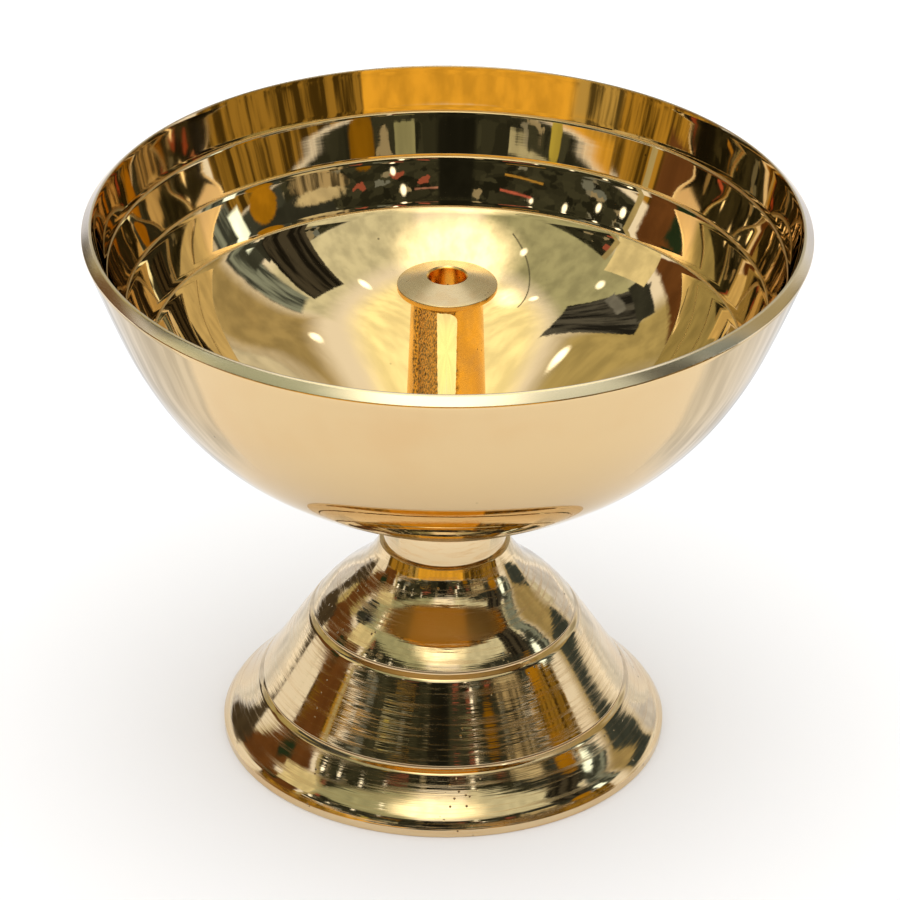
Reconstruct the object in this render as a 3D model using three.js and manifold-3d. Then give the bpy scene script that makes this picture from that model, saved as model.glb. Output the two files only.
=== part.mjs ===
// A brass pedestal diya: an open oil bowl with a slotted wick holder in its middle, standing on a
// short neck and a hollow bell-shaped pedestal. A threaded stud runs up through the pedestal's crown,
// the neck ring and the bowl's floor. A nut holds it from below and the wick holder from above.
// Millimetres and degrees, +Z up. The origin is the middle of the foot's underside.
import * as THREE from "three";
import { mergeVertices } from "three/addons/utils/BufferGeometryUtils.js";
import Module from "manifold-3d";

// Pedestal
const foot = { radius: 31.35, edgeHeight: 1.2, chamfer: 0.25 };
const lowerRing = { radius: 25.85, height: 7.8 };
const upperRing = { radius: 18.7, height: 18.7 };
const ringGroove = { depth: 0.3, lowerSide: 0.75, upperSide: 0.4 };
const collar = { bottomRadius: 9.7, topRadius: 9.2, height: 1.35, chamfer: 0.15 };
const crownHeight = 30;
const crownThickness = 4;
const bellWall = 2.2;

// Bowl and neck
const neckRadius = 8.75;
const neckHeight = 5;
const neckChamfer = 0.2;
const seatEdge = 0.3;
const bowlHeight = 44.9;
const rimRadius = 50;
const lip = { width: 1.4, band: 1.3, round: 1.1 };
const lipWall = 1.4;
const floorWall = 2.2;
const scribe = { depth: 0.18, width: 0.5 };
const scribeHeight = { first: 24, second: 30.5, third: 36.5 };

// Wick holder
const wickFoot = { radius: 8, thickness: 2, fillet: 1.5 };
const spigot = { radius: 4.6, clearance: 0.3 };
const column = { topRadius: 4.9, bottomRadius: 5.9 };
const wickHole = { radius: 2.6, chamfer: 0.25 };
const flange = { radius: 6.9, thickness: 1, chamfer: 0.3, rise: 1.25 };
const wickHolderHeight = 33.35;
const slot = { width: 5.5, turn: 17, cornerRadius: 1.3, topWeb: 1.1, floorWeb: 1.5 };

// Stud, nut and washers
const stud = { radius: 3, chamfer: 0.5, engagement: 5, tipRoom: 0.5, nutReach: 1.4 };
const studClearance = 0.3;
const nut = { acrossFlats: 10, thickness: 5, chamferAngle: 30, faceInset: 0.2 };
const crownWasher = { radius: 6.25, thickness: 1.6, chamfer: 0.2 };
const seal = { radius: 7.6, thickness: 1, chamfer: 0.15, clearance: 0.3 };

// Fineness of the faceted surfaces
const bodySegments = 56;
const holderSegments = 44;
const smallSegments = 32;
const bellStep = 2.3;
const bowlStep = 3.6;
const arcSteps = 4;
const halvings = 30;
const leastSpacing = 0.25;

// Heights of the stack, from the foot up
const crownUnderside = crownHeight - crownThickness;
const seatHeight = crownHeight + neckHeight;
const floorHeight = seatHeight + floorWall;
const rimHeight = seatHeight + bowlHeight;
const footUnderside = floorHeight + seal.thickness;
const studTop = footUnderside + stud.engagement - seal.thickness + spigot.clearance;
const holderTop = footUnderside + wickHolderHeight;
const flangeEdgeTop = holderTop - flange.rise;
const flangeUnderside = flangeEdgeTop - flange.thickness;
const washerUnderside = crownUnderside - crownWasher.thickness;
const nutUnderside = washerUnderside - nut.thickness;
const studBore = stud.radius + studClearance;

// Shape of each free stretch of outline, as shares of the way in radius and in height
const ankleShape = [[0.13, 0.17], [0.47, 0.44]];
const shoulderShape = [[0.3, 0.31], [0.52, 0.48], [0.74, 0.665], [0.91, 0.865]];
const bowlShape = [
  [0.151, 0.071], [0.471, 0.256], [0.622, 0.364], [0.752, 0.501], [0.854, 0.661], [0.933, 0.836],
];

// Cross-sections of the turned marks: distance up the outline, then how far out from its curve
const ringMark = [[-ringGroove.lowerSide, 0], [0, -ringGroove.depth], [ringGroove.upperSide, 0]];
const scribeMark = [[-scribe.width / 2, 0], [0, scribe.depth], [scribe.width / 2, 0]];

const wasm = await Module();
wasm.setup();

const radians = THREE.MathUtils.degToRad;
const point = (radius, height) => new THREE.Vector2(radius, height);

// A smooth outline from one station to another through points given as shares of the way.
function stretch(from, to, shape) {
  return shape.map(([across, up]) =>
    point(from.x + (to.x - from.x) * across, from.y + (to.y - from.y) * up));
}

function smoothCurve(stations) {
  const raised = stations.map((p) => new THREE.Vector3(p.x, p.y, 0));
  return new THREE.CatmullRomCurve3(raised, false, "centripetal");
}

// A point on a curve a given length along it, moved out to the curve's right-hand side.
function offsetPoint(curve, length, along, lift) {
  const share = THREE.MathUtils.clamp(along / length, 0, 1);
  const place = curve.getPointAt(share);
  const heading = curve.getTangentAt(share);
  return point(place.x + heading.y * lift, place.y - heading.x * lift);
}

// How far along a curve its offset outline reaches a height. The curve climbs all the way.
function alongAtHeight(curve, length, offsetAt, height) {
  let low = 0;
  let high = length;
  for (let step = 0; step < halvings; step++) {
    const middle = (low + high) / 2;
    const reached = offsetPoint(curve, length, middle, offsetAt(middle / length)).y;
    if (reached < height) low = middle;
    else high = middle;
  }
  return (low + high) / 2;
}

// An outline along a curve at an offset, with each mark's points in place of the plain ones there.
function markedOutline(curve, spacing, offsetAt, markHeights, mark) {
  const length = curve.getLength();
  const count = Math.ceil(length / spacing);
  const room = spacing * leastSpacing;
  let stops = Array.from({ length: count + 1 }, (_, i) => [(length * i) / count, 0]);
  for (const height of markHeights) {
    const centre = alongAtHeight(curve, length, offsetAt, height);
    const cuts = mark.map(([step, lift]) => [centre + step, lift]);
    const first = cuts[0][0] - room;
    const last = cuts[cuts.length - 1][0] + room;
    const isEnd = (along) => along === 0 || along === length;
    stops = stops.filter(([along]) => isEnd(along) || along < first || along > last);
    stops.push(...cuts);
  }
  stops.sort((a, b) => a[0] - b[0]);
  return stops.map(([along, lift]) => offsetPoint(curve, length, along, offsetAt(along / length) + lift));
}

// The part of a climbing outline above a height, starting with its point at that height.
function above(outline, height) {
  const firstKept = outline.findIndex((p) => p.y > height);
  const kept = outline.slice(firstKept);
  if (firstKept === 0) return [point(kept[0].x, height), ...kept];
  const last = outline[firstKept - 1];
  const share = (height - last.y) / (kept[0].y - last.y);
  return [point(last.x + (kept[0].x - last.x) * share, height), ...kept];
}

// The part of a climbing outline below a height, ending with its point at that height.
function below(outline, height) {
  const flipped = outline.map((p) => point(p.x, -p.y)).reverse();
  return above(flipped, -height).map((p) => point(p.x, -p.y)).reverse();
}

// Points on a quarter arc about a centre, from one angle to the other.
function arc(centre, radius, fromAngle, toAngle) {
  return Array.from({ length: arcSteps + 1 }, (_, i) => {
    const angle = radians(fromAngle + ((toAngle - fromAngle) * i) / arcSteps);
    return point(centre.x + radius * Math.cos(angle), centre.y + radius * Math.sin(angle));
  });
}

// A profile turned about the Z axis. Profiles run anticlockwise, so that faces point outwards.
function turned(profile, segments) {
  return new THREE.LatheGeometry(profile, segments).rotateX(Math.PI / 2);
}

// A turned ring: its profile is closed on itself.
function turnedRing(profile, segments) {
  return turned([...profile, profile[0].clone()], segments);
}

function chamferedRing(innerRadius, outerRadius, underside, topside, chamfer, segments) {
  return turnedRing([
    point(innerRadius, underside),
    point(outerRadius - chamfer, underside),
    point(outerRadius, underside + chamfer),
    point(outerRadius, topside - chamfer),
    point(outerRadius - chamfer, topside),
    point(innerRadius, topside),
  ], segments);
}

function solidOf(geometry) {
  const bare = geometry.clone();
  bare.deleteAttribute("normal");
  bare.deleteAttribute("uv");
  const merged = mergeVertices(bare, 1e-4);
  return new wasm.Manifold(new wasm.Mesh({
    numProp: 3,
    vertProperties: merged.getAttribute("position").array,
    triVerts: new Uint32Array(merged.getIndex().array),
  }));
}

function geometryOf(solid) {
  const mesh = solid.getMesh();
  const geometry = new THREE.BufferGeometry();
  geometry.setAttribute("position", new THREE.BufferAttribute(mesh.vertProperties, 3));
  geometry.setIndex(new THREE.BufferAttribute(mesh.triVerts, 1));
  geometry.computeVertexNormals();
  return geometry;
}

// The bell's outer curve, climbing from the top of the foot's edge to the underside of the collar.
function bellCurve() {
  const edge = point(foot.radius, foot.edgeHeight);
  const lower = point(lowerRing.radius, lowerRing.height);
  const upper = point(upperRing.radius, upperRing.height);
  const throat = point(collar.bottomRadius, crownHeight - collar.height);
  return smoothCurve([
    edge, ...stretch(edge, lower, ankleShape), lower,
    upper, ...stretch(upper, throat, shoulderShape), throat,
  ]);
}

// A hollow bell casting: its wall follows the outer curve. Its thick flat crown has the stud's hole, and
// a collar that narrows upwards.
function pedestalGeometry() {
  const curve = bellCurve();
  const outside = markedOutline(curve, bellStep, () => 0, [lowerRing.height, upperRing.height], ringMark);
  const inside = markedOutline(curve, bellStep, () => -bellWall, [], []);
  const hollow = below(inside, crownUnderside).filter((p) => p.y > foot.edgeHeight);
  return turnedRing([
    point(foot.radius - bellWall, 0),
    point(foot.radius - foot.chamfer, 0),
    point(foot.radius, foot.chamfer),
    ...outside,
    point(collar.topRadius, crownHeight - collar.chamfer),
    point(collar.topRadius - collar.chamfer, crownHeight),
    point(studBore, crownHeight),
    point(studBore, crownUnderside),
    ...hollow.reverse(),
  ], bodySegments);
}

function neckRingGeometry() {
  return chamferedRing(studBore, neckRadius, crownHeight, seatHeight, neckChamfer, bodySegments);
}

// The bowl's outer curve, climbing from the edge of its flat seat to the band under the lip.
function bowlCurve() {
  const start = point(neckRadius + seatEdge, seatHeight);
  const end = point(rimRadius, rimHeight - lip.band);
  return smoothCurve([start, ...stretch(start, end, bowlShape), end]);
}

// A thin bowl, thicker towards its floor, with fine scribed rings inside and a flat lip.
function bowlGeometry() {
  const curve = bowlCurve();
  const wallAt = (share) => -THREE.MathUtils.lerp(floorWall, lipWall, share);
  const scribes = Object.values(scribeHeight).map((height) => floorHeight + height);
  const outside = markedOutline(curve, bowlStep, () => 0, [], []);
  const inside = above(markedOutline(curve, bowlStep, wallAt, scribes, scribeMark), floorHeight);
  const lipInside = rimRadius - lip.width;
  const wall = inside.filter((p) => p.y < rimHeight - lip.round && p.x < lipInside);
  return turnedRing([
    point(studBore, seatHeight),
    ...outside,
    ...arc(point(rimRadius - lip.round, rimHeight - lip.round), lip.round, 0, 90),
    point(lipInside, rimHeight),
    ...wall.reverse(),
    point(studBore, floorHeight),
  ], bodySegments);
}

function sealGeometry() {
  const bore = spigot.radius + seal.clearance;
  return chamferedRing(bore, seal.radius, floorHeight, footUnderside, seal.chamfer, smallSegments);
}

// The slot through the column: a rounded opening, cut straight through and turned about the axis.
function slotSolid(bottom) {
  const half = slot.width / 2;
  const top = flangeUnderside - slot.topWeb;
  const round = slot.cornerRadius;
  const opening = new THREE.Shape();
  opening.moveTo(-half, bottom);
  opening.lineTo(half, bottom);
  opening.lineTo(half, top - round);
  opening.absarc(half - round, top - round, round, 0, Math.PI / 2, false);
  opening.lineTo(round - half, top);
  opening.absarc(round - half, top - round, round, Math.PI / 2, Math.PI, false);
  opening.lineTo(-half, bottom);
  const depth = 2 * rimRadius;
  const cut = new THREE.ExtrudeGeometry(opening, { depth, bevelEnabled: false, curveSegments: arcSteps });
  cut.translate(0, 0, -depth / 2).rotateX(Math.PI / 2).rotateZ(radians(-slot.turn));
  return solidOf(cut);
}

// One casting: a foot that clamps the bowl, a tapered column and a flange that rises to the wick's hole.
// A blind hole under the foot takes the stud.
function wickHolderGeometry() {
  const blindTop = studTop + stud.tipRoom;
  const slotBottom = blindTop + slot.floorWeb;
  const spigotBottom = floorHeight + spigot.clearance;
  const footTop = footUnderside + wickFoot.thickness;
  const filletCentre = point(column.bottomRadius + wickFoot.fillet, footTop + wickFoot.fillet);
  const profile = [
    point(0, blindTop),
    point(studBore, blindTop),
    point(studBore, spigotBottom),
    point(spigot.radius, spigotBottom),
    point(spigot.radius, footUnderside),
    point(wickFoot.radius, footUnderside),
    point(wickFoot.radius, footTop),
    ...arc(filletCentre, wickFoot.fillet, 270, 180),
    point(column.topRadius, flangeUnderside - flange.chamfer),
    point(flange.radius - flange.chamfer, flangeUnderside),
    point(flange.radius, flangeUnderside + flange.chamfer),
    point(flange.radius, flangeEdgeTop),
    point(wickHole.radius + wickHole.chamfer, holderTop),
    point(wickHole.radius, holderTop - wickHole.chamfer),
    point(wickHole.radius, slotBottom),
    point(0, slotBottom),
  ];
  const casting = solidOf(turned(profile, holderSegments));
  return geometryOf(casting.subtract(slotSolid(slotBottom)));
}

function studGeometry() {
  const bottom = nutUnderside - stud.nutReach;
  return turned([
    point(0, bottom),
    point(stud.radius - stud.chamfer, bottom),
    point(stud.radius, bottom + stud.chamfer),
    point(stud.radius, studTop - stud.chamfer),
    point(stud.radius - stud.chamfer, studTop),
    point(0, studTop),
  ], smallSegments);
}

// A hexagon nut: a six-sided prism whose corners are turned away at both ends.
function nutGeometry() {
  const cornerRadius = nut.acrossFlats / 2 / Math.cos(radians(30));
  const hexagon = new THREE.Shape();
  for (let corner = 0; corner < 6; corner++) {
    const angle = radians(60 * corner);
    const place = [cornerRadius * Math.cos(angle), cornerRadius * Math.sin(angle)];
    if (corner === 0) hexagon.moveTo(...place);
    else hexagon.lineTo(...place);
  }
  hexagon.closePath();
  hexagon.holes.push(new THREE.Path().absarc(0, 0, studBore, 0, 2 * Math.PI, true));
  const prism = new THREE.ExtrudeGeometry(hexagon, {
    depth: nut.thickness, bevelEnabled: false, curveSegments: smallSegments,
  });
  prism.translate(0, 0, nutUnderside);
  const faceRadius = nut.acrossFlats / 2 - nut.faceInset;
  const coneRise = (cornerRadius - faceRadius) * Math.tan(radians(nut.chamferAngle));
  const envelope = turned([
    point(0, nutUnderside),
    point(faceRadius, nutUnderside),
    point(cornerRadius, nutUnderside + coneRise),
    point(cornerRadius, washerUnderside - coneRise),
    point(faceRadius, washerUnderside),
    point(0, washerUnderside),
  ], smallSegments);
  return geometryOf(solidOf(prism).intersect(solidOf(envelope)));
}

function crownWasherGeometry() {
  const { radius, chamfer } = crownWasher;
  return chamferedRing(studBore, radius, washerUnderside, crownUnderside, chamfer, smallSegments);
}

const polishedBrass = { color: 0xd9b45a, roughness: 0.12, metalness: 1 };
const castBrass = { color: 0xcf9b3c, roughness: 0.4, metalness: 1 };
const platedSteel = { color: 0xb9bcc0, roughness: 0.35, metalness: 1 };
const sealRubber = { color: 0x2a2725, roughness: 0.8, metalness: 0 };

function piece(name, geometry, finish) {
  const mesh = new THREE.Mesh(geometry, new THREE.MeshStandardMaterial(finish));
  mesh.name = name;
  return mesh;
}

const diya = new THREE.Group();
diya.add(
  piece("pedestal", pedestalGeometry(), polishedBrass),
  piece("neck_ring", neckRingGeometry(), polishedBrass),
  piece("bowl", bowlGeometry(), polishedBrass),
  piece("sealing_washer", sealGeometry(), sealRubber),
  piece("wick_holder", wickHolderGeometry(), castBrass),
  piece("tie_stud", studGeometry(), platedSteel),
  piece("crown_washer", crownWasherGeometry(), platedSteel),
  piece("crown_nut", nutGeometry(), platedSteel),
);

export default diya;
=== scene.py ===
"""A brass pedestal diya: fine meshes and finishes around its packed frame, on a studio stage.

Everything is in metres in the frame's own axes: the lamp stands on z = 0, its axis is Z, and the
viewer looks along +Y. One operator builds each piece, or the crown's washer and nut together, and
the panel in the sidebar lists them all.
"""

import math
from bisect import bisect_left
from typing import NamedTuple

import bmesh
import bpy
from mathutils import Matrix, Vector, noise
from mathutils.geometry import interpolate_bezier


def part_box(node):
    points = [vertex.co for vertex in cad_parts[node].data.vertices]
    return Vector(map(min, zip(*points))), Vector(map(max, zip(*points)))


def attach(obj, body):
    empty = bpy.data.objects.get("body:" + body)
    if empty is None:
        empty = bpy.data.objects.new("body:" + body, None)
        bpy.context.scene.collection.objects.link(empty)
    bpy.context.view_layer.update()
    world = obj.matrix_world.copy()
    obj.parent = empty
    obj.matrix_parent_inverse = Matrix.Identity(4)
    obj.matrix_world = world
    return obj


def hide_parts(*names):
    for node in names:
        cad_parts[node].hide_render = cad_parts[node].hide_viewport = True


bl_info = {
    "name": "Pedestal Diya",
    "version": (1, 0, 0),
    "blender": (4, 5, 0),
    "location": "3D View > Sidebar > Diya",
    "description": "Builds a brass oil lamp with a slotted wick holder, and a stage to picture it on",
    "category": "Add Mesh",
}

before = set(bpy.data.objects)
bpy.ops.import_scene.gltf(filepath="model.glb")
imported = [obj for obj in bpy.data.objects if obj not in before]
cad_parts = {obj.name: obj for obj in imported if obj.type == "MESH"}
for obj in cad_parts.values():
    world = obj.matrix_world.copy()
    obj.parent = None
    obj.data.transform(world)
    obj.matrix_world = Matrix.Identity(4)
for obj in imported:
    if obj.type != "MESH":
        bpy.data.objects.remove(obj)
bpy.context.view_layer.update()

MM = 0.001
UP = Vector((0, 0, 1))

# Fineness of the meshes
BODY_TURN_STEPS = 256
HOLDER_TURN_STEPS = 160
SMALL_TURN_STEPS = 96
ROUND_STEPS = 5
OUTLINE_STEPS = 24
EVENING_ROUNDS = 30
THREAD_TURN_STEPS = 32
BELL_SPACING = 0.45 * MM
BELL_INSIDE_SPACING = 0.9 * MM
BOWL_SPACING = 0.7 * MM
HOLDER_SPACING = 0.25 * MM
CARD_SPACING = 4  # degrees
FLAT_TO_CURVED = math.radians(28)

# How near two places count as one, TINY where that has to be finer, and a hair's room
SAME_PLACE = 1e-6
TINY = 1e-7
HAIR = 0.01 * MM

# Small sizes of the wick holder, and the chamfer of the nut's bore
TIP_ROOM = 0.5 * MM
UNDERCUT = 0.3 * MM
FOOT_LOWER_ROUND = 0.2 * MM
FOOT_UPPER_ROUND = 0.35 * MM
FLANGE_LOWER_ROUND = 0.12 * MM
SLOT_REACH = 12 * MM
NUT_MOUTH = 0.35 * MM

# Faces with outward() under the first are a piece's inside. The others are limits of a normal's Z.
FACES_INSIDE = -0.05
FACES_DOWN = -0.7
FACES_UP = 0.9


def lowest(node):
    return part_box(node)[0].z


def highest(node):
    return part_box(node)[1].z


def reach(node):
    """A turned node's outer radius."""
    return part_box(node)[1].x


def stud_bore(context):
    """The radius of every hole that the stud goes through."""
    return reach("tie_stud") + context.scene.diya_fixings.bore_clearance


def scribe_heights(sizes):
    """The heights of the bowl's scribed rings over the table."""
    floor = lowest("sealing_washer")
    return [floor + height for height in (sizes.lowest_scribe, sizes.middle_scribe, sizes.top_scribe)]


# Sizes and colours that a user would change

def length(name, default, description):
    return bpy.props.FloatProperty(
        name=name, description=description, default=default, min=0, subtype="DISTANCE", unit="LENGTH",
        precision=5)


def angle(name, degrees, description):
    return bpy.props.FloatProperty(
        name=name, description=description, default=math.radians(degrees), subtype="ANGLE",
        unit="ROTATION")


def amount(name, default, description):
    return bpy.props.FloatProperty(name=name, description=description, default=default, min=0)


def colour(name, default, description):
    return bpy.props.FloatVectorProperty(
        name=name, description=description, default=default, size=3, min=0, max=1, subtype="COLOR")


class PedestalSizes(bpy.types.PropertyGroup):
    """The bell-shaped pedestal's own sizes."""
    foot_edge: length("Foot edge", 1.2 * MM, "Height of the foot's upright edge")
    lower_ring_radius: length("Lower ring radius", 25.85 * MM, "Radius of the bell at the lower groove")
    lower_ring_height: length("Lower ring height", 7.8 * MM, "Height of the lower groove")
    upper_ring_radius: length("Upper ring radius", 18.7 * MM, "Radius of the bell at the upper groove")
    upper_ring_height: length("Upper ring height", 18.7 * MM, "Height of the upper groove")
    collar_bottom: length("Collar bottom radius", 9.7 * MM, "Radius of the collar where the bell starts")
    collar_top: length("Collar top radius", 9.2 * MM, "Radius of the collar at its top")
    collar_height: length("Collar height", 1.35 * MM, "Height of the collar's tapered edge")
    collar_round: length("Collar rounding", 0.18 * MM, "Rounding of the collar's upper edge")
    groove_depth: length("Groove depth", 0.3 * MM, "Depth of the two turned grooves")
    groove_lower: length("Groove lower side", 0.75 * MM, "Width of a groove's long lower side")
    groove_upper: length("Groove upper side", 0.4 * MM, "Width of a groove's steep upper side")
    edge_round: length("Edge rounding", 0.25 * MM, "Rounding of the foot's edge")
    wall: length("Wall", 2.2 * MM, "Thickness of the bell's wall")


class BowlSizes(bpy.types.PropertyGroup):
    """The bowl's own sizes."""
    seat_edge: length("Seat edge", 0.3 * MM, "Width of the flat seat outside the neck")
    lip_width: length("Lip width", 1.4 * MM, "Width of the flat top of the rim")
    lip_band: length("Lip band", 1.3 * MM, "Height of the upright band under the rim")
    lip_bevel: length("Lip bevel", 1.15 * MM, "Width and height of the bevel on the rim's outer edge")
    lip_round: length("Lip rounding", 0.6 * MM, "Rounding of the bevel's two edges")
    lip_break: length("Lip inner edge", 0.12 * MM, "Rounding of the rim's inner edge")
    lip_wall: length("Wall at the lip", 1.4 * MM, "Thickness of the wall near the rim")
    lip_swell: length("Lip swell", 0.3 * MM, "How much thicker the wall grows towards the lip")
    swell_reach: length("Swell reach", 8 * MM, "How far down from the lip the swell goes")
    scribe_depth: length("Scribe depth", 0.05 * MM, "Depth of the scribed rings inside")
    scribe_width: length("Scribe width", 0.42 * MM, "Width of the scribed rings inside")
    lowest_scribe: length("Lowest scribe", 24 * MM, "Height of the lowest scribed ring over the floor")
    middle_scribe: length("Middle scribe", 30.5 * MM, "Height of the middle scribed ring over the floor")
    top_scribe: length("Top scribe", 36.5 * MM, "Height of the top scribed ring over the floor")
    # This zone carries painted shade as well as a duller polish.
    shaded_dull_reach: length("Dull reach", 30 * MM, "Radius of the dull zone on the underside")


class HolderSizes(bpy.types.PropertyGroup):
    """The wick holder's own sizes."""
    foot_thickness: length("Foot thickness", 2 * MM, "Thickness of the foot that clamps the bowl")
    foot_fillet: length("Foot fillet", 1.5 * MM, "Fillet between foot and column")
    spigot_radius: length("Spigot radius", 4.6 * MM, "Radius of the spigot inside the sealing washer")
    column_top: length("Column radius at top", 4.9 * MM, "Radius of the tapered column under the flange")
    column_bottom: length("Column radius at bottom", 5.9 * MM, "Radius of the column above its fillet")
    flange_radius: length("Flange radius", 6.9 * MM, "Radius of the flange")
    flange_thickness: length("Flange thickness", 1 * MM, "Thickness of the flange at its edge")
    flange_rise: length("Flange rise", 1.25 * MM, "How far the flange rises from its edge to the hole")
    flange_edge: length("Flange edge", 0.16 * MM, "Rounding of the flange's edges")
    hole_radius: length("Hole radius", 2.6 * MM, "Radius of the wick's hole")
    hole_chamfer: length("Hole chamfer", 0.25 * MM, "Chamfer at the mouth of the wick's hole")
    slot_width: length("Slot width", 5.5 * MM, "Width of the slot through the column")
    slot_corner: length("Slot corner", 1.3 * MM, "Radius of the slot's upper corners")
    slot_web: length("Slot web", 1.1 * MM, "Metal between slot and flange")
    slot_floor: length("Slot floor", 1.5 * MM, "Metal between slot and the stud's hole")
    slot_turn: angle("Slot turn", 17, "Turn of the slot about the axis")
    skin_relief: length("Skin relief", 0.09 * MM, "Relief of the rough cast skin in the slot")


class FixingSizes(bpy.types.PropertyGroup):
    """Sizes of the stud, nut and washers."""
    pitch: length("Thread pitch", 1 * MM, "Pitch of the stud's thread")
    thread_depth: length("Thread depth", 0.6 * MM, "Depth of the stud's thread")
    stud_chamfer: length("Stud chamfer", 0.7 * MM, "Chamfer on the stud's ends")
    bore_clearance: length("Bore clearance", 0.3 * MM, "Room round the stud in every bore")
    nut_flats: length("Nut across flats", 10 * MM, "Width of the nut across its flats")
    nut_face: length("Nut face inset", 0.2 * MM, "How far a nut's round face lies inside its flats")
    edge_break: length("Edge break", 0.15 * MM, "Rounding of the washers' edges")
    seal_bore: length("Seal bore", 4.9 * MM, "Bore radius of the sealing washer")


class BrassColours(bpy.types.PropertyGroup):
    """Colours of the metals and the seal, as they reflect white light. Some of them carry painted shade,
    highlight and reflection.
    """
    polished: colour("Polished brass", (0.83, 0.63, 0.36), "The bowl's inside")
    outside: colour("Outside brass", (0.74, 0.54, 0.285), "The bowl's outside")
    # Partly real rubbed wear, partly painted highlight: this pale cream stands for the bright sheen on the
    # lip's bevel.
    lip: colour("Lip", (0.95, 0.84, 0.68), "The rubbed top edge of the bowl")
    # Painted shade: this dark colour on the underside round the neck stands for the shaded floor and
    # pedestal that the polish mirrors there.
    dull_and_shaded: colour("Dull brass", (0.42, 0.32, 0.15), "The bowl's underside round the neck")
    turned: colour("Turned brass", (0.76, 0.585, 0.345), "The pedestal's and neck's brass")
    satin: colour("Satin brass", (0.78, 0.62, 0.37), "The wick holder's flange")
    # Painted reflection: a brass tone pushed to saturated orange, standing for the bowl's orange inside
    # mirrored in the column, hole and rough skin.
    warm_painted_reflection: colour("Warm brass", (0.93, 0.50, 0.09), "The wick holder's column and hole")
    cast: colour("Cast brass", (0.50, 0.36, 0.17), "The rough skin of castings")
    tarnish: colour("Tarnish", (0.70, 0.44, 0.20), "Warm tarnish in thin patches")
    # Dirt in pits and specks. Also painted shade on the pedestal's grooves, and the dark in the low places
    # of cast grain and sand.
    grime_and_shade: colour("Grime", (0.10, 0.065, 0.035), "What lies in pits and grooves")
    zinc: colour("Zinc plate", (0.62, 0.64, 0.66), "The stud, nut and washer")
    rubber: colour("Rubber", (0.025, 0.024, 0.023), "The sealing washer")


class StageSettings(bpy.types.PropertyGroup):
    """Camera, floor and light."""
    view_distance: length("Camera distance", 788.95 * MM, "Distance of the camera from its target")
    view_height: length("Target height", 44 * MM, "Height of the camera's target on the lamp's axis")
    view_side: length("Target side", 0.6 * MM, "How far right of the axis the camera aims")
    view_pitch: angle("Camera pitch", 29.65, "How far the camera looks down")
    view_roll: angle("Camera roll", 0.55, "How far the picture's top leans")
    lens: amount("Lens", 226.23, "Focal length in millimetres, on a 36 mm sensor")
    floor_size: length("Floor size", 3.0, "Half the floor's side")
    floor_colour: colour("Floor colour", (0.94, 0.94, 0.94), "The pale table")
    key_height: length("Key light height", 1.6, "Height of the soft light over the table")
    key_size: length("Key light size", 2.4, "Side of the soft light")
    key_power: amount("Key light power", 12, "Power of the soft light in watts")
    card_distance: length("Card distance", 0.48, "Distance of the farthest card from the lamp")
    card_step: length("Card step", 2 * MM, "How much nearer each further card hangs")
    card_gap: length("Card gap", 1 * MM, "Room between the floor and a card that lies on it")
    mirror_height: length("Mirror height", 65 * MM, "Height on the bowl's wall to set the cards out from")
    mirror_reach: length("Mirror reach", 42 * MM, "Radius of the bowl's wall at that height")


SETTINGS = {
    "diya_pedestal": PedestalSizes,
    "diya_bowl": BowlSizes,
    "diya_holder": HolderSizes,
    "diya_fixings": FixingSizes,
    "diya_colours": BrassColours,
    "diya_stage": StageSettings,
}


# Shader expressions

class Value:
    """A shader socket. An expression on values adds its Math nodes."""

    def __init__(self, finish, socket):
        self.finish = finish
        self.socket = socket

    def math(self, operation, *others):
        inputs = dict(enumerate((self, *others)))
        return self.finish.node("ShaderNodeMath", {"operation": operation}, inputs)

    def __add__(self, other):
        return self.math("ADD", other)

    __radd__ = __add__

    def __mul__(self, other):
        return self.math("MULTIPLY", other)

    __rmul__ = __mul__

    def __sub__(self, other):
        return self.math("SUBTRACT", other)

    def __rsub__(self, other):
        return self.finish.node("ShaderNodeMath", {"operation": "SUBTRACT"}, {0: other, 1: self})

    def __truediv__(self, other):
        return self.math("DIVIDE", other)

    def __pow__(self, other):
        return self.math("POWER", other)

    def __gt__(self, other):
        return self.math("GREATER_THAN", other)

    def __abs__(self):
        return self.math("ABSOLUTE")

    def rise(self, start, end):
        """0 below start, 1 above end, and a smooth rise between them."""
        settings = {"interpolation_type": "SMOOTHSTEP"}
        return self.finish.node("ShaderNodeMapRange", settings, {"Value": self, 1: start, 2: end})


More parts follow.
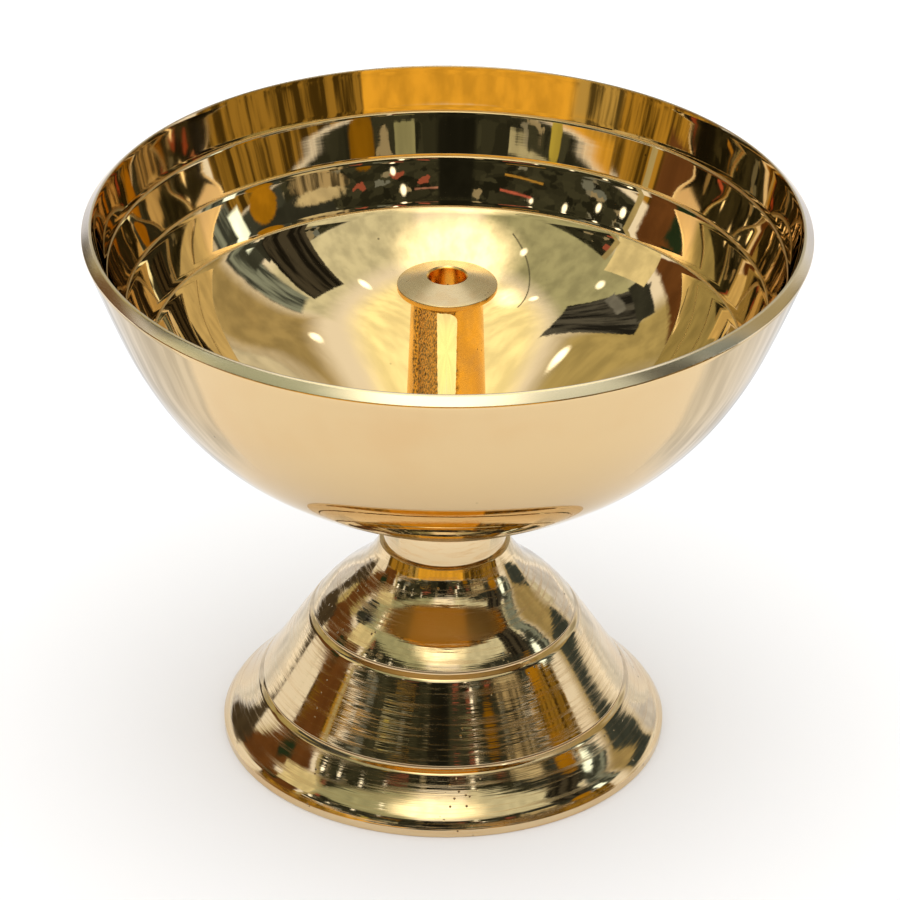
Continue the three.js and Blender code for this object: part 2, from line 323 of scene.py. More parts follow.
class Finish:
    """One material, and the nodes that make it."""

    def __init__(self, name):
        self.material = bpy.data.materials.new("fine_" + name)
        self.material.use_nodes = True
        self.tree = self.material.node_tree
        self.shader = self.tree.nodes["Principled BSDF"]
        self.place = self.node("ShaderNodeTexCoord", {}, {}, "Object")

    def node(self, kind, settings, inputs, output=0):
        """A node of a kind, with its settings made first and then its sockets' values or links."""
        made = self.tree.nodes.new(kind)
        for name, setting in settings.items():
            setattr(made, name, setting)
        for key, value in inputs.items():
            if isinstance(value, Value):
                self.tree.links.new(value.socket, made.inputs[key])
            else:
                made.inputs[key].default_value = value
        return Value(self, made.outputs[output])

    def set(self, **values):
        """Values or links of the surface shader's own sockets, named in lower case."""
        for name, value in values.items():
            socket = self.shader.inputs[name.replace("_", " ").title().replace("Ior", "IOR")]
            if isinstance(value, Value):
                self.tree.links.new(value.socket, socket)
            else:
                socket.default_value = value

    def mix(self, factor, first, second):
        """A colour between two colours."""
        colours = {0: factor, 6: opaque(first), 7: opaque(second)}
        return self.node("ShaderNodeMix", {"data_type": "RGBA"}, colours, 2)

    def noise(self, place, scale, detail=2.0, roughness=0.5):
        values = {"Vector": place, "Scale": scale, "Detail": detail, "Roughness": roughness}
        return self.node("ShaderNodeTexNoise", {}, values)

    def cells(self, place, scale, output="Distance"):
        return self.node("ShaderNodeTexVoronoi", {}, {"Vector": place, "Scale": scale}, output)

    def vector(self, x, y, z):
        return self.node("ShaderNodeCombineXYZ", {}, {0: x, 1: y, 2: z})

    def part(self, vector, axis):
        return self.node("ShaderNodeSeparateXYZ", {}, {0: vector}, axis)

    def bump(self, height, depth, normal=None):
        """A normal disturbed by a height of 0 to 1 that stands for a depth in metres."""
        inputs = {"Height": height, "Distance": depth, "Strength": 1.0}
        if normal is not None:
            inputs["Normal"] = normal
        return self.node("ShaderNodeBump", {}, inputs)

    def round_the_axis(self):
        """The radius from the axis, the height, and the sine and cosine of the turn about it."""
        x, y, z = (self.part(self.place, axis) for axis in "XYZ")
        radius = (x * x + y * y) ** 0.5
        safe = radius.math("MAXIMUM", HAIR)
        return radius, z, x / safe, y / safe


def opaque(value):
    return value if isinstance(value, Value) else (*value, 1.0)


def tool_lines(finish, run, sine, cosine, spacing, drift):
    """Lines that a lathe tool leaves: fine along the outline's run, long and slowly drifting round it."""
    per_metre = 1 / spacing
    across = finish.vector(run * per_metre, sine * drift, cosine * drift)
    return finish.noise(across, 1.0, 3.0, 0.6)


def line_at(height, places, half_width):
    """1 on thin level lines at some heights, 0 elsewhere."""
    return sum(1 - abs(height - place).rise(half_width * 0.7, half_width) for place in places)


def mirror_brass(scene):
    """The bowl's outside, rougher round the neck where a buff doesn't reach, and darker there with painted
    shade of the shaded floor and pedestal that it mirrors.
    """
    return polished(
        scene, "mirror_brass", scene.diya_colours.outside, shaded_dull_reach=scene.diya_bowl.shaded_dull_reach)


def scribed_brass(scene):
    """The bowl's inside, the same but rough in its scribed rings."""
    return polished(scene, "scribed_brass", scene.diya_colours.polished, scribe_heights(scene.diya_bowl))


def polished(scene, name, plain, scribes=(), shaded_dull_reach=0.0):
    """A mirror polish, with smears and a few specks, satin on the lip and in the scribed rings. The lip's
    colour is paled with a painted highlight, and the colour round the neck is darkened with painted shade.
    """
    colours, sizes = scene.diya_colours, scene.diya_bowl
    rim, edge = highest("bowl") - sizes.lip_band, reach("bowl") - sizes.lip_width
    finish = Finish(name)
    radius, height, sine, cosine = finish.round_the_axis()
    smears = finish.noise(finish.place, 55.0, 3.0, 0.55)
    hairlines = tool_lines(finish, radius + height, sine, cosine, 0.35 * MM, 3.0)
    specks = finish.cells(finish.place, 420.0).rise(0.09, 0.05)
    rare = finish.noise(finish.place, 90.0, 1.0).rise(0.6, 0.68)
    # Painted shade: round the neck the colour goes dark. The extra roughness there is a real duller polish.
    dull_and_shaded = radius.rise(shaded_dull_reach + 2 * MM, shaded_dull_reach - 2 * MM) if shaded_dull_reach else 0.0
    clean = finish.mix(dull_and_shaded, plain, colours.dull_and_shaded)
    tint = finish.mix(smears.rise(0.52, 0.8) * 0.35, clean, colours.tarnish)
    scribed = line_at(height, scribes, sizes.scribe_width / 2)
    # Painted highlight: the lip's colour is paled towards cream over its rubbed, rougher polish.
    on_lip = height.rise(rim, rim + 0.2 * MM) * radius.rise(edge - 0.1 * MM, edge)
    lip_highlighted = finish.mix(on_lip * 0.7, tint, colours.lip)
    finish.set(
        base_color=finish.mix(specks * rare * 0.6, lip_highlighted, colours.grime_and_shade),
        metallic=1.0,
        roughness=(0.022 + smears.rise(0.45, 0.75) * 0.03 + hairlines.rise(0.5, 0.8) * 0.015
                   + scribed * 0.35 + on_lip * 0.2 + dull_and_shaded * 0.3),
    )
    ripple = finish.noise(finish.place, 60.0, 1.0)
    waved = finish.bump(ripple, 0.008 * MM)
    finish.set(normal=finish.bump(hairlines, 0.0004 * MM, waved))
    return finish.material


def turned_brass(scene):
    """The pedestal's polish over lathe lines, with painted shade on the grooves' upper sides and small
    casting pits.
    """
    colours, sizes = scene.diya_colours, scene.diya_pedestal
    finish = Finish("turned_brass")
    radius, height, sine, cosine = finish.round_the_axis()
    run = height - radius
    fine = tool_lines(finish, run, sine, cosine, 0.3 * MM, 1.6)
    coarse = tool_lines(finish, run, sine, cosine, 1.0 * MM, 1.0)
    stains = tool_lines(finish, run, sine, cosine, 0.7 * MM, 2.0)
    patches = finish.noise(finish.vector(height * 90.0, sine * 1.5, cosine * 1.5), 1.0, 2.0).rise(0.42, 0.62)
    smears = finish.noise(finish.place, 70.0, 3.0, 0.55)
    pits = finish.cells(finish.place, 900.0).rise(0.17, 0.1)
    clusters = finish.noise(finish.place, 130.0, 1.0).rise(0.58, 0.66)
    marks = pits * clusters
    upper_side = sizes.groove_upper * math.sin(math.radians(45)) / 2
    rings = (sizes.lower_ring_height + upper_side, sizes.upper_ring_height + upper_side)
    # Painted shade: each groove's steep upper side, which faces down, is painted dark.
    groove_shade = line_at(height, rings, upper_side)
    lined = stains.rise(0.48, 0.62) * (0.5 + 0.5 * patches)
    stained = (lined * 0.4).math("MAXIMUM", smears.rise(0.5, 0.8) * 0.3)
    tint = finish.mix(stained, colours.turned, colours.tarnish)
    finish.set(
        base_color=finish.mix((marks * 0.85).math("MAXIMUM", groove_shade * 0.8), tint, colours.grime_and_shade),
        metallic=1.0,
        roughness=0.05 + fine.rise(0.45, 0.75) * 0.03 + lined * 0.2 + (marks + groove_shade) * 0.35,
    )
    finely = finish.bump(fine * (0.35 + 0.65 * patches), 0.004 * MM)
    ridged = finish.bump(coarse, 0.018 * MM, finely)
    finish.set(normal=finish.bump(1 - marks, 0.02 * MM, ridged))
    return finish.material


def satin_brass(scene):
    """Machined brass, rough where the mesh's own cast_skin attribute says so. Below the flange's top edge,
    in the wick's hole and on the rough skin, the brass tone is pushed to a saturated orange as a painted
    reflection of the bowl's orange inside.
    """
    colours = scene.diya_colours
    finish = Finish("satin_brass")
    radius, height, sine, cosine = finish.round_the_axis()
    skin = finish.node("ShaderNodeAttribute", {"attribute_name": "cast_skin"}, {}, "Fac")
    grain = finish.noise(finish.place, 2600.0, 4.0, 0.65)
    coarse_grain = finish.cells(finish.place, 1500.0)
    lines = tool_lines(finish, radius + height, sine, cosine, 0.14 * MM, 1.2)
    blotches = finish.noise(finish.place, 500.0, 2.0).rise(0.45, 0.65)
    clusters = finish.noise(finish.place, 300.0, 1.0).rise(0.6, 0.66)
    pits = finish.cells(finish.place, 1300.0).rise(0.2, 0.12) * clusters
    sizes = scene.diya_holder
    edge_top = highest("wick_holder") - sizes.flange_rise
    below = height.rise(edge_top, edge_top - 0.15 * MM)
    in_hole = radius.rise(sizes.hole_radius + sizes.hole_chamfer, sizes.hole_radius)
    # Painted reflection: the column below the flange's top edge and the wick's hole take the saturated
    # orange.
    plain = finish.mix(below.math("MAXIMUM", in_hole), colours.satin, colours.warm_painted_reflection)
    machined = finish.mix(blotches * 0.25, plain, colours.tarnish)
    # The skin's colour goes dark where its grain's bump is low.
    rough = finish.mix(grain.rise(0.39, 0.58), colours.grime_and_shade, colours.warm_painted_reflection)
    finish.set(
        base_color=finish.mix(pits * 0.6, finish.mix(skin, machined, rough), colours.grime_and_shade),
        metallic=1.0,
        roughness=0.24 + lines.rise(0.4, 0.7) * 0.06 + skin * 0.16 + pits * 0.3,
    )
    lined = finish.bump(lines, 0.002 * MM)
    grained = finish.bump(skin * grain, 0.1 * MM, lined)
    finish.set(normal=finish.bump(skin * coarse_grain, 0.06 * MM, grained))
    return finish.material


def cast_inside(scene):
    colours = scene.diya_colours
    finish = Finish("cast_inside")
    sand = finish.noise(finish.place, 1500.0, 4.0, 0.6)
    lumps = finish.noise(finish.place, 260.0, 2.0)
    tint = finish.mix(lumps.rise(0.35, 0.65), colours.cast, colours.tarnish)
    finish.set(
        # The colour goes dark where the sand's bump is low.
        base_color=finish.mix(sand.rise(0.55, 0.3) * 0.7, tint, colours.grime_and_shade),
        metallic=1.0,
        roughness=0.42 + sand.rise(0.3, 0.7) * 0.25,
    )
    finish.set(normal=finish.bump(sand + lumps, 0.12 * MM))
    return finish.material


def zinc_plate(scene):
    colours = scene.diya_colours
    finish = Finish("zinc_plate")
    cloud = finish.noise(finish.place, 380.0, 3.0)
    scratches = finish.noise(finish.node(
        "ShaderNodeMapping", {}, {"Vector": finish.place, "Scale": (900.0, 2600.0, 900.0)}), 1.0, 2.0)
    finish.set(
        base_color=finish.mix(cloud.rise(0.4, 0.7) * 0.3, colours.zinc, colours.satin),
        metallic=1.0,
        roughness=0.26 + cloud.rise(0.3, 0.7) * 0.14,
        normal=finish.bump(scratches, 0.006 * MM),
    )
    return finish.material


def seal_rubber(scene):
    colours = scene.diya_colours
    finish = Finish("seal_rubber")
    dust = finish.noise(finish.place, 1200.0, 3.0)
    finish.set(
        base_color=finish.mix(dust.rise(0.5, 0.8) * 0.25, colours.rubber, colours.cast),
        roughness=0.6 + dust.rise(0.3, 0.7) * 0.2,
        normal=finish.bump(dust, 0.02 * MM),
    )
    return finish.material


FINISHES = {made.__name__: made for made in (
    mirror_brass, scribed_brass, turned_brass, satin_brass, cast_inside, zinc_plate, seal_rubber)}


def finish_named(name, context):
    """The material of a finish, made when it is first asked for."""
    return bpy.data.materials.get("fine_" + name) or FINISHES[name](context.scene)


# Outlines, as points in the XZ plane

def point(radius, height):
    return Vector((radius, 0, height))


class Outline:
    """A smooth outline through a few stations, measured by the distance along it."""

    def __init__(self, stations, evening):
        ends = [2 * stations[0] - stations[1], *stations, 2 * stations[-1] - stations[-2]]
        self.points = [stations[0]]
        for before, start, stop, after in zip(ends, ends[1:], ends[2:], ends[3:]):
            lead, span, follow = (math.sqrt((b - a).length)
                                  for a, b in ((before, start), (start, stop), (stop, after)))
            leaving = (start - before) / lead - (stop - before) / (lead + span) + (stop - start) / span
            arriving = (stop - start) / span - (after - start) / (span + follow) + (after - stop) / follow
            self.points += interpolate_bezier(
                start, start + leaving * span / 3, stop - arriving * span / 3, stop, OUTLINE_STEPS)[1:]
        for _ in range(evening):
            inner = [(a + 2 * b + c) / 4 for a, b, c in zip(self.points, self.points[1:], self.points[2:])]
            self.points = [self.points[0], *inner, self.points[-1]]
        self.reached = [0.0]
        for a, b in zip(self.points, self.points[1:]):
            self.reached.append(self.reached[-1] + (b - a).length)
        self.length = self.reached[-1]

    def place(self, along):
        along = min(max(along, 0.0), self.length)
        index = max(bisect_left(self.reached, along), 1)
        first, last = self.reached[index - 1], self.reached[index]
        return self.points[index - 1].lerp(self.points[index], (along - first) / (last - first))

    def offset(self, along, lift):
        """A place moved by lift to the right-hand side of the way up the outline."""
        near = 0.2 * MM
        heading = (self.place(along + near) - self.place(along - near)).normalized()
        return self.place(along) + lift * Vector((heading.z, 0, -heading.x))

    def along_at(self, height, lift_at):
        """How far along the outline, lifted, reaches a height."""
        low, high = 0.0, self.length
        while high - low > TINY:
            middle = (low + high) / 2
            if self.offset(middle, lift_at(middle)).z < height:
                low = middle
            else:
                high = middle
        return low


def stretch(start, end, shares):
    """Stations between two points, at shares of the way in radius and in height."""
    return [point(start.x + (end.x - start.x) * across, start.z + (end.z - start.z) * up)
            for across, up in shares]


def traced(outline, spacing, lift_at, marks=()):
    """Points along a lifted outline, with the points of each mark in place of the plain ones."""
    count = math.ceil(outline.length / spacing)
    stops = [(outline.length * step / count, 0.0) for step in range(count + 1)]
    for centre, section in marks:
        first, last = centre + section[0][0], centre + section[-1][0]
        clear = spacing / 4
        stops = [stop for stop in stops if not first - clear < stop[0] < last + clear]
        stops += [(centre + step, lift) for step, lift in section]
    return [outline.offset(along, lift_at(along) + lift) for along, lift in sorted(stops)]


def groove(lower, upper, depth, steps=8, softness=0.25):
    """A V groove's section: steps along the outline and how far out each lies. Its corners are soft."""
    section = []
    for step in range(-steps, steps + 1):
        across = step / steps
        side = lower if step < 0 else upper
        wave = (1 + math.cos(math.pi * across)) / 2
        section.append((across * side, depth * (softness * wave + (1 - softness) * (1 - abs(across)))))
    return section


def rounded(corner, before, after, radius, steps=ROUND_STEPS):
    """Points of a round that takes the place of a corner between two neighbours."""
    back, on = (before - corner).normalized(), (after - corner).normalized()
    opening = back.angle(on)
    cut = radius / math.tan(opening / 2)
    centre = corner + (back + on).normalized() * (radius / math.sin(opening / 2))
    start, end = corner + back * cut - centre, corner + on * cut - centre
    turn = start.angle(end)
    return [centre + (start * math.sin(turn * (1 - k / steps)) + end * math.sin(turn * k / steps))
            / math.sin(turn) for k in range(steps + 1)]


def rounded_outline(corners, radii):
    """A closed outline with some of its corners rounded. A radius of 0 leaves a corner sharp."""
    points = []
    for index, (corner, radius) in enumerate(zip(corners, radii)):
        before, after = corners[index - 1], corners[(index + 1) % len(corners)]
        points += rounded(corner, before, after, radius) if radius else [corner]
    return points


# Meshes

def turned(points, steps, closed=True):
    """A bmesh of an outline turned about the Z axis."""
    bm = bmesh.new()
    corners = [bm.verts.new(place) for place in points]
    edges = [bm.edges.new(pair) for pair in zip(corners, corners[1:])]
    if closed:
        edges.append(bm.edges.new((corners[-1], corners[0])))
    bmesh.ops.spin(
        bm, geom=corners + edges, cent=(0, 0, 0), axis=UP, dvec=(0, 0, 0), angle=math.tau,
        steps=steps, use_merge=True, use_duplicate=False)
    settle_faces(bm)
    return bm


def settle_faces(bm):
    """Merges what meets, and turns the faces outward."""
    bmesh.ops.remove_doubles(bm, verts=bm.verts[:], dist=TINY)
    bmesh.ops.recalc_face_normals(bm, faces=bm.faces[:])


def finished(context, bm, node, body, finishes):
    """Makes a bmesh the visible piece that stands for a frame node of the same name."""
    mesh = bpy.data.meshes.new(node + "_mesh")
    for face in bm.faces:
        face.smooth = True
    bm.to_mesh(mesh)
    bm.free()
    mesh.set_sharp_from_angle(angle=FLAT_TO_CURVED)
    for name in finishes:
        mesh.materials.append(finish_named(name, context))
    piece = bpy.data.objects.new("fine_" + node, mesh)
    context.scene.collection.objects.link(piece)
    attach(piece, body)
    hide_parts(node)
    return piece


def ring(node, bore, inner_round, outer_round, steps):
    """A flat ring with rounded edges, as large as its frame node."""
    radius, bottom, top = reach(node), lowest(node), highest(node)
    corners = [point(bore, bottom), point(radius, bottom), point(radius, top), point(bore, top)]
    radii = (inner_round, outer_round, outer_round, inner_round)
    return turned(rounded_outline(corners, radii), steps)


def trim(bm, place, normal):
    """Cuts away what lies beyond a plane, and closes the cut."""
    everything = bm.verts[:] + bm.edges[:] + bm.faces[:]
    bmesh.ops.bisect_plane(bm, geom=everything, plane_co=place, plane_no=normal, clear_outer=True)
    rim = [edge for edge in bm.edges if edge.is_boundary
           and all(abs((vert.co - place).dot(normal)) < SAME_PLACE for vert in edge.verts)]
    bmesh.ops.holes_fill(bm, edges=rim, sides=0)


def outward(face):
    """How far a face looks away from the axis: -1 to 1."""
    centre = face.calc_center_median()
    away = Vector((centre.x, centre.y, 0))
    return face.normal.dot(away.normalized()) if away.length > SAME_PLACE else 0.0


class DIYA_OT_pedestal(bpy.types.Operator):
    """Build the hollow bell-shaped pedestal with its two grooves, collar and foot"""
    bl_idname = "diya.pedestal"
    bl_label = "Pedestal"

    ankle_shape = ((0.13, 0.17), (0.47, 0.44))
    shoulder_shape = ((0.3, 0.31), (0.52, 0.48), (0.74, 0.665), (0.91, 0.865))
    crown_clear = 0.3 * MM
    corner_step = 0.15 * MM

    def execute(self, context):
        sizes = context.scene.diya_pedestal
        bore = stud_bore(context)
        top, foot = highest("pedestal"), reach("pedestal")
        crown_underside = highest("crown_washer")
        bell = self.bell(sizes, foot, top)
        mark = groove(sizes.groove_lower, sizes.groove_upper, -sizes.groove_depth)
        heights = (sizes.lower_ring_height, sizes.upper_ring_height)
        marks = [(bell.along_at(height, lambda along: 0), mark) for height in heights]
        outside = traced(bell, BELL_SPACING, lambda along: 0, marks)
        inside = [p for p in traced(bell, BELL_INSIDE_SPACING, lambda along: -sizes.wall)
                  if sizes.foot_edge < p.z < crown_underside - self.crown_clear]
        inner_corner = point(inside[-1].x - self.corner_step, crown_underside)
        foot_corners = [point(foot - sizes.wall, 0), point(foot, 0), outside[0]]
        collar = [outside[-1], point(sizes.collar_top, top), point(bore, top),
                  point(bore, crown_underside)]
        outline = [
            foot_corners[0],
            *rounded(foot_corners[1], foot_corners[0], foot_corners[2], sizes.edge_round),
            *outside,
            *rounded(collar[1], collar[0], collar[2], sizes.collar_round),
            collar[2], collar[3], inner_corner,
            *reversed(inside),
        ]
        bm = turned(outline, BODY_TURN_STEPS)
        for face in bm.faces:
            under_crown = face.normal.z < FACES_DOWN and face.calc_center_median().z > sizes.foot_edge
            face.material_index = int(outward(face) < FACES_INSIDE or under_crown)
        finished(context, bm, "pedestal", "lamp", ("turned_brass", "cast_inside"))
        return {"FINISHED"}

    def bell(self, sizes, foot, top):
        """The bell's outer curve, from the foot's edge up to the collar's underside."""
        edge = point(foot, sizes.foot_edge)
        lower = point(sizes.lower_ring_radius, sizes.lower_ring_height)
        upper = point(sizes.upper_ring_radius, sizes.upper_ring_height)
        throat = point(sizes.collar_bottom, top - sizes.collar_height)
        ankle = stretch(edge, lower, self.ankle_shape)
        shoulder = stretch(upper, throat, self.shoulder_shape)
        return Outline([edge, *ankle, lower, upper, *shoulder, throat], EVENING_ROUNDS)


class DIYA_OT_neck_ring(bpy.types.Operator):
    """Build the plain ring between pedestal and bowl"""
    bl_idname = "diya.neck_ring"
    bl_label = "Neck Ring"

    edge_round = 0.16 * MM

    def execute(self, context):
        bore = stud_bore(context)
        bm = ring("neck_ring", bore, 0, self.edge_round, BODY_TURN_STEPS)
        finished(context, bm, "neck_ring", "lamp", ("turned_brass",))
        return {"FINISHED"}


class DIYA_OT_bowl(bpy.types.Operator):
    """Build the thin open bowl with its flat lip and scribed rings"""
    bl_idname = "diya.bowl"
    bl_label = "Bowl"

    shape = ((0.151, 0.071), (0.471, 0.256), (0.622, 0.364), (0.752, 0.501), (0.854, 0.661), (0.933, 0.836))
    floor_clear = 0.05 * MM
    corner_step = 0.4 * MM

    def execute(self, context):
        sizes = context.scene.diya_bowl
        bore = stud_bore(context)
        seat, rim, radius = lowest("bowl"), highest("bowl"), reach("bowl")
        floor = lowest("sealing_washer")
        start = point(reach("neck_ring") + sizes.seat_edge, seat)
        end = point(radius, rim - sizes.lip_band)
        curve = Outline([start, *stretch(start, end, self.shape), end], EVENING_ROUNDS)

        def wall(along):
            floor_wall = floor - seat
            plain = floor_wall + (sizes.lip_wall - floor_wall) * along / curve.length
            near_lip = max(1 - (curve.length - along) / sizes.swell_reach, 0)
            return -(plain + sizes.lip_swell * near_lip ** 2)

        mark = groove(sizes.scribe_width / 2, sizes.scribe_width / 2, sizes.scribe_depth, 3, 1)
        marks = [(curve.along_at(height, wall), mark) for height in scribe_heights(sizes)]
        lip_inside = radius - sizes.lip_width
        inside = [p for p in traced(curve, BOWL_SPACING, wall, marks)
                  if floor + self.floor_clear < p.z < rim - 3 * sizes.lip_break]
        corners = [end, point(radius, rim - sizes.lip_bevel), point(radius - sizes.lip_bevel, rim),
                   point(lip_inside, rim), inside[-1]]
        outline = [
            point(bore, seat),
            *traced(curve, BOWL_SPACING, lambda along: 0),
            *rounded(corners[1], corners[0], corners[2], sizes.lip_round / 2),
            *rounded(corners[2], corners[1], corners[3], sizes.lip_round),
            *rounded(corners[3], corners[2], corners[4], sizes.lip_break, 4),
            *reversed(inside),
            point(inside[0].x - self.corner_step, floor),
            point(bore, floor),
        ]
        bm = turned(outline, BODY_TURN_STEPS)
        for face in bm.faces:
            face.material_index = int(outward(face) < FACES_INSIDE or face.normal.z > FACES_UP)
        finished(context, bm, "bowl", "lamp", ("mirror_brass", "scribed_brass"))
        return {"FINISHED"}


class DIYA_OT_sealing_washer(bpy.types.Operator):
    """Build the soft washer between bowl floor and wick holder"""
    bl_idname = "diya.sealing_washer"
    bl_label = "Sealing Washer"

    def execute(self, context):
        sizes = context.scene.diya_fixings
        bm = ring("sealing_washer", sizes.seal_bore, sizes.edge_break, sizes.edge_break, SMALL_TURN_STEPS)
        finished(context, bm, "sealing_washer", "seal", ("seal_rubber",))
        return {"FINISHED"}


class DIYA_OT_wick_holder(bpy.types.Operator):
    """Build the wick holder: a foot, a column cut through by a slot, and a coned flange with a hole"""
    bl_idname = "diya.wick_holder"
    bl_label = "Wick Holder"

    # The cast skin: how far it goes past the slot's edges, and how its border and relief vary
    left_skin = 1.1 * MM
    right_skin = 1.0 * MM
    bare_share = 0.1
    skin_below = 0.2 * MM
    skin_above = 0.1 * MM
    skin_fade = 0.25 * MM
    border_wander = 0.35 * MM
    border_scale = 900
    relief_scale = 2200
    bore_margin = 0.1 * MM
    wall_facing = 0.3

    def execute(self, context):
        sizes = context.scene.diya_holder
        bore = stud_bore(context)
        blind_top = highest("tie_stud") + TIP_ROOM
        slot_bottom = blind_top + sizes.slot_floor
        slot_top = highest("wick_holder") - sizes.flange_rise - sizes.flange_thickness - sizes.slot_web
        casting = self.casting(sizes, bore, blind_top, slot_bottom)
        slot = self.slot(sizes, slot_bottom, slot_top)
        bm = cut_away(context, casting, slot)
        self.dice_walls(bm, sizes, slot_bottom, slot_top)
        self.roughen(bm, sizes, slot_bottom, slot_top)
        finished(context, bm, "wick_holder", "wick_holder", ("satin_brass",))
        return {"FINISHED"}

    def casting(self, sizes, bore, blind_top, slot_bottom):
        """The turned shape before the slot is cut."""
        spigot_bottom, top = lowest("wick_holder"), highest("wick_holder")
        foot_underside = highest("sealing_washer")
        foot_top = foot_underside + sizes.foot_thickness
        foot, flange = reach("wick_holder"), sizes.flange_radius
        edge_top = top - sizes.flange_rise
        underside = edge_top - sizes.flange_thickness
        neck = point(sizes.column_top, underside - UNDERCUT)
        ankle = point(sizes.column_bottom, foot_top)
        hole = sizes.hole_radius
        rim = [neck, point(flange - UNDERCUT, underside), point(flange, underside + UNDERCUT),
               point(flange, edge_top), point(hole + sizes.hole_chamfer, top)]
        lower_edge, upper_edge = point(foot, foot_underside), point(foot, foot_top)
        column = subdivided([*rounded(ankle, upper_edge, neck, sizes.foot_fillet, 8), neck], HOLDER_SPACING)
        cone = subdivided([*rounded(rim[3], rim[2], rim[4], sizes.flange_edge), rim[4]], 2 * HOLDER_SPACING)
        bore_wall = subdivided([point(hole, top - sizes.hole_chamfer), point(hole, slot_bottom)], MM)
        outline = [
            point(0, blind_top), point(bore, blind_top), point(bore, spigot_bottom),
            point(sizes.spigot_radius, spigot_bottom), point(sizes.spigot_radius, foot_underside),
            *rounded(lower_edge, point(0, foot_underside), upper_edge, FOOT_LOWER_ROUND),
            *rounded(upper_edge, lower_edge, ankle, FOOT_UPPER_ROUND),
            *column,
            *rounded(rim[2], rim[1], rim[3], FLANGE_LOWER_ROUND, 3),
            *cone,
            *bore_wall,
            point(0, slot_bottom),
        ]
        return turned(outline, HOLDER_TURN_STEPS, closed=False)

    def slot(self, sizes, bottom, top):
        """The slot's own shape: an opening with round upper corners, drawn through the column."""
        half = sizes.slot_width / 2
        corners = [point(-half, bottom), point(half, bottom), point(half, top), point(-half, top)]
        outline = rounded_outline(corners, (0, 0, sizes.slot_corner, sizes.slot_corner))
        bm = bmesh.new()
        face = bm.faces.new([bm.verts.new(place - Vector((0, SLOT_REACH, 0))) for place in outline])
        drawn = bmesh.ops.extrude_face_region(bm, geom=[face])
        moved = [item for item in drawn["geom"] if isinstance(item, bmesh.types.BMVert)]
        bmesh.ops.translate(bm, verts=moved, vec=(0, 2 * SLOT_REACH, 0))
        turn = Matrix.Rotation(-sizes.slot_turn, 3, "Z")
        bmesh.ops.rotate(bm, verts=bm.verts[:], cent=(0, 0, 0), matrix=turn)
        bmesh.ops.recalc_face_normals(bm, faces=bm.faces[:])
        return bm

    def dice_walls(self, bm, sizes, bottom, top):
        """Cuts the slot's large flat walls into small faces that can take a rough skin."""
        across = Matrix.Rotation(-sizes.slot_turn, 3, "Z") @ Vector((1, 0, 0))
        through = UP.cross(across)
        edge = sizes.column_bottom + MM
        planes = [(UP * height, UP) for height in spaced(bottom, top, HOLDER_SPACING)]
        planes += [(through * step, through) for step in spaced(-edge, edge, HOLDER_SPACING)]
        for place, normal in planes:
            walls = [face for face in bm.faces if abs(face.normal.dot(across)) > self.wall_facing
                     and abs(face.calc_center_median().dot(across)) < sizes.slot_width / 2 + HAIR
                     and bottom < face.calc_center_median().z < top]
            geometry = {item for face in walls for item in (face, *face.edges, *face.verts)}
            bmesh.ops.bisect_plane(bm, geom=list(geometry), plane_co=place, plane_no=normal)

    def roughen(self, bm, sizes, bottom, top):
        """Marks where the cast skin is, in an attribute, and gives it relief."""
        layer = bm.verts.layers.float.new("cast_skin")
        half = sizes.slot_width / 2
        into_slot = Matrix.Rotation(sizes.slot_turn, 3, "Z")
        bm.normal_update()
        for vert in bm.verts:
            local = into_slot @ vert.co
            beyond = abs(local.x) - half
            wander = self.border_wander * noise.noise(vert.co * self.border_scale)
            reach_out = self.skin_reach(local, bottom, top) + wander
            inside = bottom - self.skin_below < local.z < top + self.skin_above
            skin = min(max((reach_out - beyond) / self.skin_fade, 0.0), 1.0) if inside else 0.0
            bore_wall = Vector((local.x, local.y)).length < sizes.hole_radius + self.bore_margin
            vert[layer] = 0.0 if bore_wall else skin
        for vert in bm.verts:
            grain = noise.fractal(vert.co * self.relief_scale, 0.8, 2.2, 3)
            vert.co += vert.normal * (grain * sizes.skin_relief * vert[layer])

    def skin_reach(self, local, bottom, top):
        """How far past the slot's edge the rough skin goes: wide on the left leg, low on the right."""
        if local.x < 0:
            return self.left_skin
        down = (top - local.z) / (top - bottom)
        return (down - self.bare_share) * self.right_skin


def spaced(start, end, spacing):
    """Values between two ends, about a spacing apart, without the ends."""
    count = math.ceil((end - start) / spacing)
    return [start + (end - start) * step / count for step in range(1, count)]


def subdivided(points, spacing):
    """An outline with its long straight stretches divided."""
    result = [points[0]]
    for start, end in zip(points, points[1:]):
        count = math.ceil((end - start).length / spacing)
        result += [start.lerp(end, step / count) for step in range(1, count + 1)]
    return result


def cut_away(context, body, tool):
    """One closed shape with another cut out of it. Both bmeshes are used up."""
    shapes = []
    for name, bm in (("body", body), ("tool", tool)):
        mesh = bpy.data.meshes.new(name)
        bm.to_mesh(mesh)
        bm.free()
        shapes.append(bpy.data.objects.new(name, mesh))
        context.scene.collection.objects.link(shapes[-1])
    cut = shapes[0].modifiers.new("cut", "BOOLEAN")
    cut.operation, cut.solver, cut.object = "DIFFERENCE", "EXACT", shapes[1]
    result = bmesh.new()
    result.from_object(shapes[0], context.evaluated_depsgraph_get())
    for shape in shapes:
        mesh = shape.data
        bpy.data.objects.remove(shape)
        bpy.data.meshes.remove(mesh)
    return result


class DIYA_OT_tie_stud(bpy.types.Operator):
    """Build the threaded stud that ties the stack together"""
    bl_idname = "diya.tie_stud"
    bl_label = "Tie Stud"

    def execute(self, context):
        sizes = context.scene.diya_fixings
        bottom, top = lowest("tie_stud"), highest("tie_stud")
        bm = threaded_rod(reach("tie_stud"), bottom, top, sizes)
        finished(context, bm, "tie_stud", "lamp", ("zinc_plate",))
        return {"FINISHED"}


